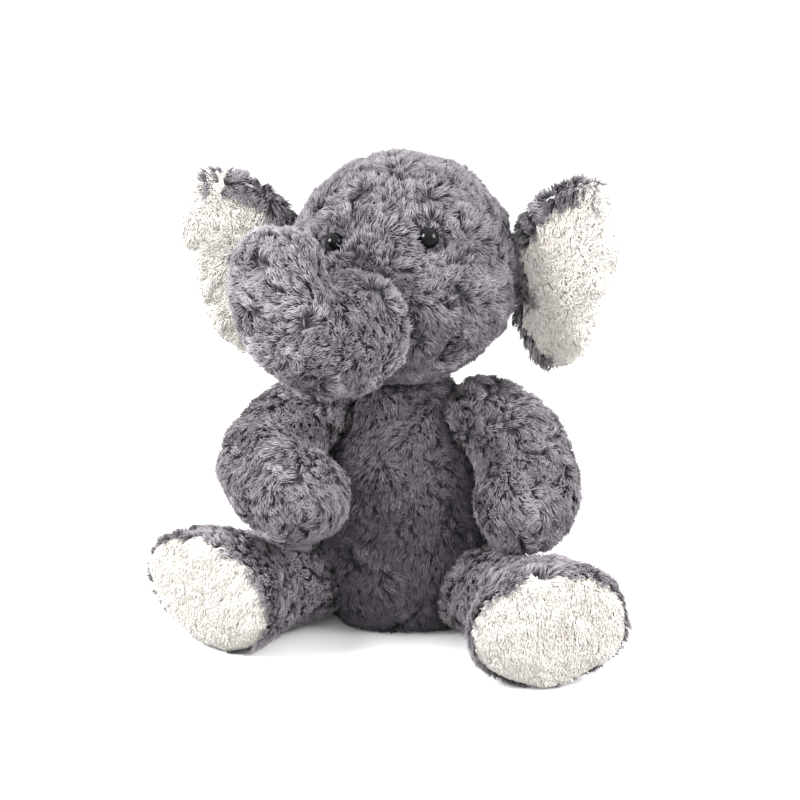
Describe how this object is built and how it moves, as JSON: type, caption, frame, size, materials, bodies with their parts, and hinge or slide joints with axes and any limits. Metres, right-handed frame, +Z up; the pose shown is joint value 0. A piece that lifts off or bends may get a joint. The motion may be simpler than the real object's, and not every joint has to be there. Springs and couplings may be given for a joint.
{
  "type": "stuffed toy elephant",
  "caption": "Sitting stuffed toy elephant in shaggy grey plush with ivory ear linings and soles, a raised curled trunk and soft sewn-on limbs.",
  "frame": {"origin": "on the floor, under the middle of the flat seat panel", "axes": "+Z up, the toy faces -Y, its own left side is +X"},
  "size_m": [0.2907, 0.2407, 0.289],
  "materials": {
    "grey_plush": "long pile plush",
    "ivory_plush": "short pile plush",
    "fibre_fill": "loose fibre",
    "eye_black": "polished",
    "clear_plastic": "moulded",
    "thread": "twisted thread",
    "label_cloth": "satin ribbon",
    "pouch_cloth": "plain weave",
    "pellets": "packed beads"
  },
  "bodies": {
    "torso": {"body_front": "grey_plush", "body_back_left": "grey_plush", "body_back_right": "grey_plush", "body_seat": "grey_plush", "body_stuffing": "fibre_fill", "pellet_pouch": "pouch_cloth", "pellet_fill": "pellets", "back_stitching": "thread", "sewn_label": "label_cloth"},
    "neck": {"neck_thread": "thread"},
    "head": {"head_side_left": "grey_plush", "head_side_right": "grey_plush", "head_gusset": "grey_plush", "head_stuffing": "fibre_fill", "eye_left": "eye_black", "eye_right": "eye_black", "eye_washer_left": "clear_plastic", "eye_washer_right": "clear_plastic"},
    "trunk": {"trunk_upper": "grey_plush", "trunk_under": "grey_plush", "trunk_stuffing": "fibre_fill"},
    "tail": {"tail_upper": "grey_plush", "tail_under": "grey_plush", "tail_stuffing": "fibre_fill"},
    "ear_left": {"ear_back_left": "grey_plush", "ear_lining_left": "ivory_plush", "ear_padding_left": "fibre_fill"},
    "arm_left": {"arm_upper_left": "grey_plush", "arm_under_left": "grey_plush", "arm_stuffing_left": "fibre_fill"},
    "leg_left": {"leg_upper_left": "grey_plush", "leg_under_left": "grey_plush", "leg_sole_left": "ivory_plush", "leg_stuffing_left": "fibre_fill"},
    "ear_right": {"ear_back_right": "grey_plush", "ear_lining_right": "ivory_plush", "ear_padding_right": "fibre_fill"},
    "arm_right": {"arm_upper_right": "grey_plush", "arm_under_right": "grey_plush", "arm_stuffing_right": "fibre_fill"},
    "leg_right": {"leg_upper_right": "grey_plush", "leg_under_right": "grey_plush", "leg_sole_right": "ivory_plush", "leg_stuffing_right": "fibre_fill"}
  },
  "joints": [
    {"name": "neck_turn", "type": "hinge", "parent": "torso", "child": "neck", "pos_m": [0, -0.004, 0.1545], "axis": [0, 0, 1], "range_deg": [-20, 20]},
    {"name": "neck_nod", "type": "hinge", "parent": "neck", "child": "head", "pos_m": [0, -0.004, 0.1545], "axis": [1, 0, 0], "range_deg": [-10, 8]},
    {"name": "trunk_lift", "type": "hinge", "parent": "head", "child": "trunk", "pos_m": [-0.01407, -0.07341, 0.20612], "axis": [-1, 0, 0], "range_deg": [-8, 8]},
    {"name": "tail_swing", "type": "hinge", "parent": "torso", "child": "tail", "pos_m": [0, 0.0695, 0.046], "axis": [0, 0, 1], "range_deg": [-15, 15]},
    {"name": "ear_left_flap", "type": "hinge", "parent": "head", "child": "ear_left", "pos_m": [0.0695, -0.003, 0.223], "axis": [0, 0, -1], "range_deg": [-8, 12]},
    {"name": "shoulder_left_raise", "type": "hinge", "parent": "torso", "child": "arm_left", "pos_m": [0.0515, -0.006, 0.129], "axis": [-1, 0, 0], "range_deg": [-3, 15]},
    {"name": "hip_left_splay", "type": "hinge", "parent": "torso", "child": "leg_left", "pos_m": [0.0524, -0.03894, 0.029], "axis": [0, 0, 1], "range_deg": [-6, 8]},
    {"name": "ear_right_flap", "type": "hinge", "parent": "head", "child": "ear_right", "pos_m": [-0.0695, -0.003, 0.223], "axis": [0, 0, 1], "range_deg": [-8, 12]},
    {"name": "shoulder_right_raise", "type": "hinge", "parent": "torso", "child": "arm_right", "pos_m": [-0.0515, -0.006, 0.129], "axis": [-1, 0, 0], "range_deg": [-3, 15]},
    {"name": "hip_right_splay", "type": "hinge", "parent": "torso", "child": "leg_right", "pos_m": [-0.0524, -0.03894, 0.029], "axis": [0, 0, -1], "range_deg": [-6, 8]}
  ]
}
